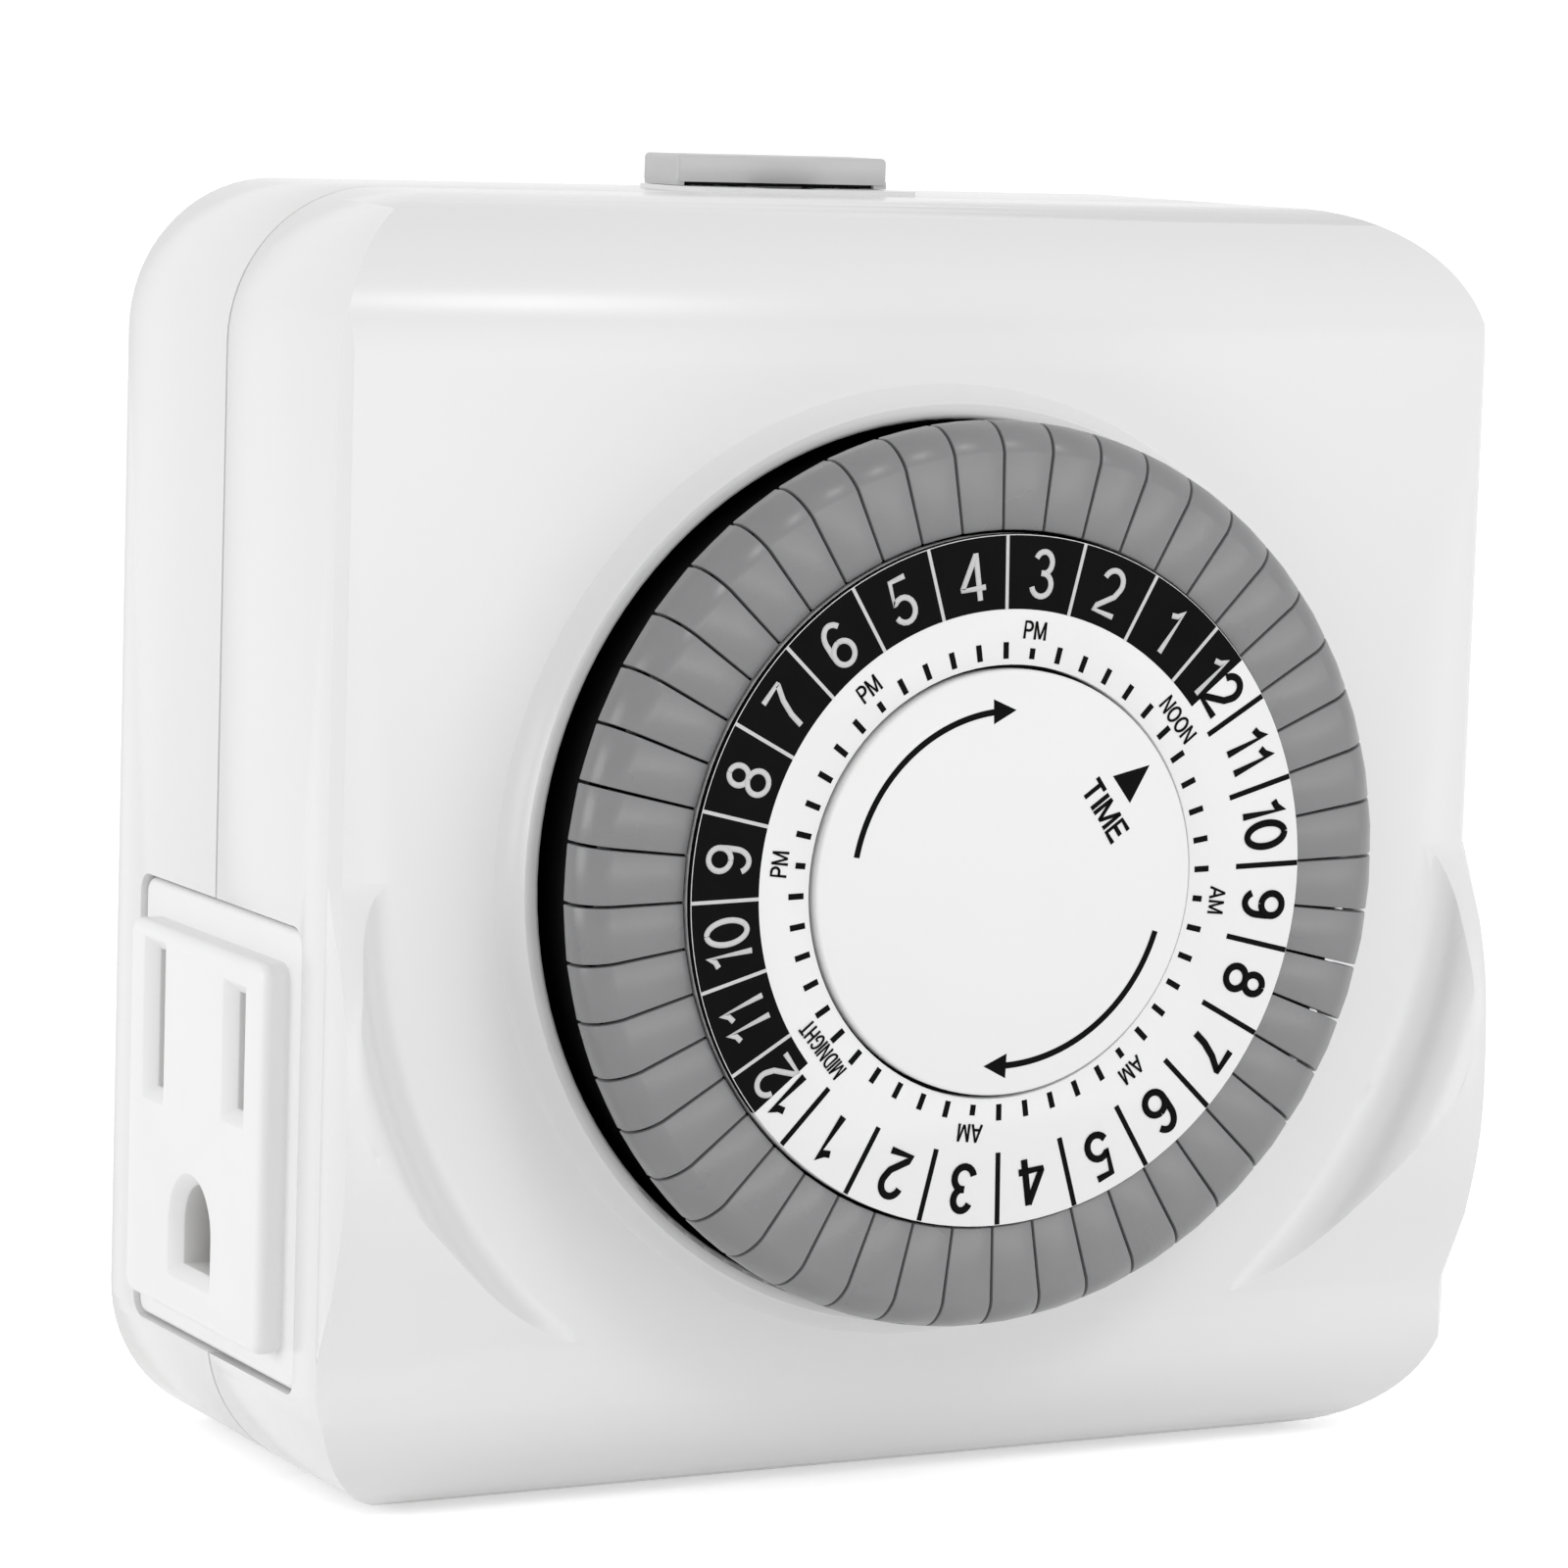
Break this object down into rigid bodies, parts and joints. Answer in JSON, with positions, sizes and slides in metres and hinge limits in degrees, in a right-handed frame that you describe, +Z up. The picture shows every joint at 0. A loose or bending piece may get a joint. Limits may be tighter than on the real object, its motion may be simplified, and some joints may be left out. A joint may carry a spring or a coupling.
{
  "type": "plug-in timer switch",
  "caption": "Square plug-in mechanical timer with a 24 hour dial of push-in segments, grounded outlets on both sides and a sliding override switch on top.",
  "frame": {"origin": "on the rear face, on the axis of the dial", "axes": "+Z up, +Y towards the wall along the dial axis, +X to the right seen from the front"},
  "size_m": [0.0822, 0.0624, 0.0816],
  "materials": {
    "front_housing": "satin",
    "rear_housing": "satin",
    "left_outlet": "satin",
    "right_outlet": "satin",
    "centre_disc": "satin",
    "dial_post": "satin",
    "dial_washer": "satin",
    "mechanism_plate": "satin",
    "gear_cover": "satin",
    "reduction_axle": "satin",
    "motor_core": "satin",
    "motor_coil": "satin",
    "lever_pin": "satin",
    "line_strip": "satin",
    "fixed_contact": "satin",
    "hot_blade": "satin",
    "neutral_blade": "satin",
    "ground_pin": "satin",
    "blade_block": "matte",
    "neutral_bus": "satin",
    "hot_bus": "satin",
    "ground_bus": "satin",
    "housing_screws": "satin",
    "plate_screws": "satin",
    "dial_carrier": "matte",
    "number_disc": "satin",
    "tripper": "satin",
    "drive_pinion": "satin",
    "clutch_wheel": "satin",
    "reduction_gear": "satin",
    "motor_rotor": "satin",
    "override_slide": "satin",
    "switch_lever": "satin",
    "contact_leaf": "satin"
  },
  "bodies": {
    "housing": {"front_housing": "front_housing", "rear_housing": "rear_housing", "left_outlet": "left_outlet", "right_outlet": "right_outlet", "centre_disc": "centre_disc", "dial_post": "dial_post", "dial_washer": "dial_washer", "mechanism_plate": "mechanism_plate", "gear_cover": "gear_cover", "reduction_axle": "reduction_axle", "motor_core": "motor_core", "motor_coil": "motor_coil", "lever_pin": "lever_pin", "line_strip": "line_strip", "fixed_contact": "fixed_contact", "hot_blade": "hot_blade", "neutral_blade": "neutral_blade", "ground_pin": "ground_pin", "blade_block": "blade_block", "neutral_bus": "neutral_bus", "hot_bus": "hot_bus", "ground_bus": "ground_bus", "housing_screws": "housing_screws", "plate_screws": "plate_screws"},
    "dial": {"dial_carrier": "dial_carrier", "number_disc": "number_disc"},
    "tripper_01": {"tripper_01": "tripper"},
    "tripper_02": {"tripper_02": "tripper"},
    "tripper_03": {"tripper_03": "tripper"},
    "tripper_04": {"tripper_04": "tripper"},
    "tripper_05": {"tripper_05": "tripper"},
    "tripper_06": {"tripper_06": "tripper"},
    "tripper_07": {"tripper_07": "tripper"},
    "tripper_08": {"tripper_08": "tripper"},
    "tripper_09": {"tripper_09": "tripper"},
    "tripper_10": {"tripper_10": "tripper"},
    "tripper_11": {"tripper_11": "tripper"},
    "tripper_12": {"tripper_12": "tripper"},
    "tripper_13": {"tripper_13": "tripper"},
    "tripper_14": {"tripper_14": "tripper"},
    "tripper_15": {"tripper_15": "tripper"},
    "tripper_16": {"tripper_16": "tripper"},
    "tripper_17": {"tripper_17": "tripper"},
    "tripper_18": {"tripper_18": "tripper"},
    "tripper_19": {"tripper_19": "tripper"},
    "tripper_20": {"tripper_20": "tripper"},
    "tripper_21": {"tripper_21": "tripper"},
    "tripper_22": {"tripper_22": "tripper"},
    "tripper_23": {"tripper_23": "tripper"},
    "tripper_24": {"tripper_24": "tripper"},
    "drive_pinion": {"drive_pinion": "drive_pinion"},
    "clutch_wheel": {"clutch_wheel": "clutch_wheel"},
    "reduction_gear": {"reduction_gear": "reduction_gear"},
    "rotor": {"motor_rotor": "motor_rotor"},
    "override": {"override_slide": "override_slide"},
    "switch_lever": {"switch_lever": "switch_lever"},
    "contact_leaf": {"contact_leaf": "contact_leaf"}
  },
  "joints": [
    {"name": "dial_spin", "type": "hinge", "parent": "housing", "child": "dial", "pos_m": [0, -0.03, 0], "axis": [0, 1, 0], "continuous": true},
    {"name": "tripper_01_push", "type": "slide", "parent": "dial", "child": "tripper_01", "axis": [0, 1, 0], "range_m": [0, 0.0022]},
    {"name": "tripper_02_push", "type": "slide", "parent": "dial", "child": "tripper_02", "axis": [0, 1, 0], "range_m": [0, 0.0022]},
    {"name": "tripper_03_push", "type": "slide", "parent": "dial", "child": "tripper_03", "axis": [0, 1, 0], "range_m": [0, 0.0022]},
    {"name": "tripper_04_push", "type": "slide", "parent": "dial", "child": "tripper_04", "axis": [0, 1, 0], "range_m": [0, 0.0022]},
    {"name": "tripper_05_push", "type": "slide", "parent": "dial", "child": "tripper_05", "axis": [0, 1, 0], "range_m": [0, 0.0022]},
    {"name": "tripper_06_push", "type": "slide", "parent": "dial", "child": "tripper_06", "axis": [0, 1, 0], "range_m": [0, 0.0022]},
    {"name": "tripper_07_push", "type": "slide", "parent": "dial", "child": "tripper_07", "axis": [0, 1, 0], "range_m": [0, 0.0022]},
    {"name": "tripper_08_push", "type": "slide", "parent": "dial", "child": "tripper_08", "axis": [0, 1, 0], "range_m": [0, 0.0022]},
    {"name": "tripper_09_push", "type": "slide", "parent": "dial", "child": "tripper_09", "axis": [0, 1, 0], "range_m": [0, 0.0022]},
    {"name": "tripper_10_push", "type": "slide", "parent": "dial", "child": "tripper_10", "axis": [0, 1, 0], "range_m": [0, 0.0022]},
    {"name": "tripper_11_push", "type": "slide", "parent": "dial", "child": "tripper_11", "axis": [0, 1, 0], "range_m": [0, 0.0022]},
    {"name": "tripper_12_push", "type": "slide", "parent": "dial", "child": "tripper_12", "axis": [0, 1, 0], "range_m": [0, 0.0022]},
    {"name": "tripper_13_push", "type": "slide", "parent": "dial", "child": "tripper_13", "axis": [0, 1, 0], "range_m": [0, 0.0022]},
    {"name": "tripper_14_push", "type": "slide", "parent": "dial", "child": "tripper_14", "axis": [0, 1, 0], "range_m": [0, 0.0022]},
    {"name": "tripper_15_push", "type": "slide", "parent": "dial", "child": "tripper_15", "axis": [0, 1, 0], "range_m": [0, 0.0022]},
    {"name": "tripper_16_push", "type": "slide", "parent": "dial", "child": "tripper_16", "axis": [0, 1, 0], "range_m": [0, 0.0022]},
    {"name": "tripper_17_push", "type": "slide", "parent": "dial", "child": "tripper_17", "axis": [0, 1, 0], "range_m": [0, 0.0022]},
    {"name": "tripper_18_push", "type": "slide", "parent": "dial", "child": "tripper_18", "axis": [0, 1, 0], "range_m": [0, 0.0022]},
    {"name": "tripper_19_push", "type": "slide", "parent": "dial", "child": "tripper_19", "axis": [0, 1, 0], "range_m": [0, 0.0022]},
    {"name": "tripper_20_push", "type": "slide", "parent": "dial", "child": "tripper_20", "axis": [0, 1, 0], "range_m": [0, 0.0022]},
    {"name": "tripper_21_push", "type": "slide", "parent": "dial", "child": "tripper_21", "axis": [0, 1, 0], "range_m": [0, 0.0022]},
    {"name": "tripper_22_push", "type": "slide", "parent": "dial", "child": "tripper_22", "axis": [0, 1, 0], "range_m": [0, 0.0022]},
    {"name": "tripper_23_push", "type": "slide", "parent": "dial", "child": "tripper_23", "axis": [0, 1, 0], "range_m": [0, 0.0022]},
    {"name": "tripper_24_push", "type": "slide", "parent": "dial", "child": "tripper_24", "axis": [0, 1, 0], "range_m": [0, 0.0022]},
    {"name": "drive_pinion_spin", "type": "hinge", "parent": "housing", "child": "drive_pinion", "pos_m": [-0.01858, -0.025, 0.02654], "axis": [0, 1, 0], "continuous": true},
    {"name": "rotor_spin", "type": "hinge", "parent": "housing", "child": "rotor", "pos_m": [-0.02135, -0.015, 0.01498], "axis": [0, 1, 0], "continuous": true},
    {"name": "reduction_spin", "type": "hinge", "parent": "housing", "child": "reduction_gear", "pos_m": [-0.01278, -0.02, 0.01649], "axis": [0, 1, 0], "continuous": true},
    {"name": "clutch_spin", "type": "hinge", "parent": "housing", "child": "clutch_wheel", "pos_m": [-0.01858, -0.022, 0.02654], "axis": [0, 1, 0], "continuous": true},
    {"name": "override_travel", "type": "slide", "parent": "housing", "child": "override", "axis": [0, -1, 0], "range_m": [0, 0.0035]},
    {"name": "lever_swing", "type": "hinge", "parent": "housing", "child": "switch_lever", "pos_m": [0.01536, -0.01965, 0.02881], "axis": [1, 0, 0], "range_deg": [0, 8]},
    {"name": "leaf_flex", "type": "hinge", "parent": "housing", "child": "contact_leaf", "pos_m": [0.01536, -0.01695, 0.0055], "axis": [1, 0, 0], "range_deg": [-7.6, 0]}
  ],
  "couplings": [
    {"joint": "drive_pinion_spin", "follows": "dial_spin", "ratio": -8},
    {"joint": "reduction_spin", "follows": "rotor_spin", "ratio": -0.16},
    {"joint": "clutch_spin", "follows": "rotor_spin", "ratio": 0.033333},
    {"joint": "lever_swing", "follows": "override_travel", "rad_per_m": 39.883},
    {"joint": "leaf_flex", "follows": "override_travel", "rad_per_m": -37.889}
  ]
}
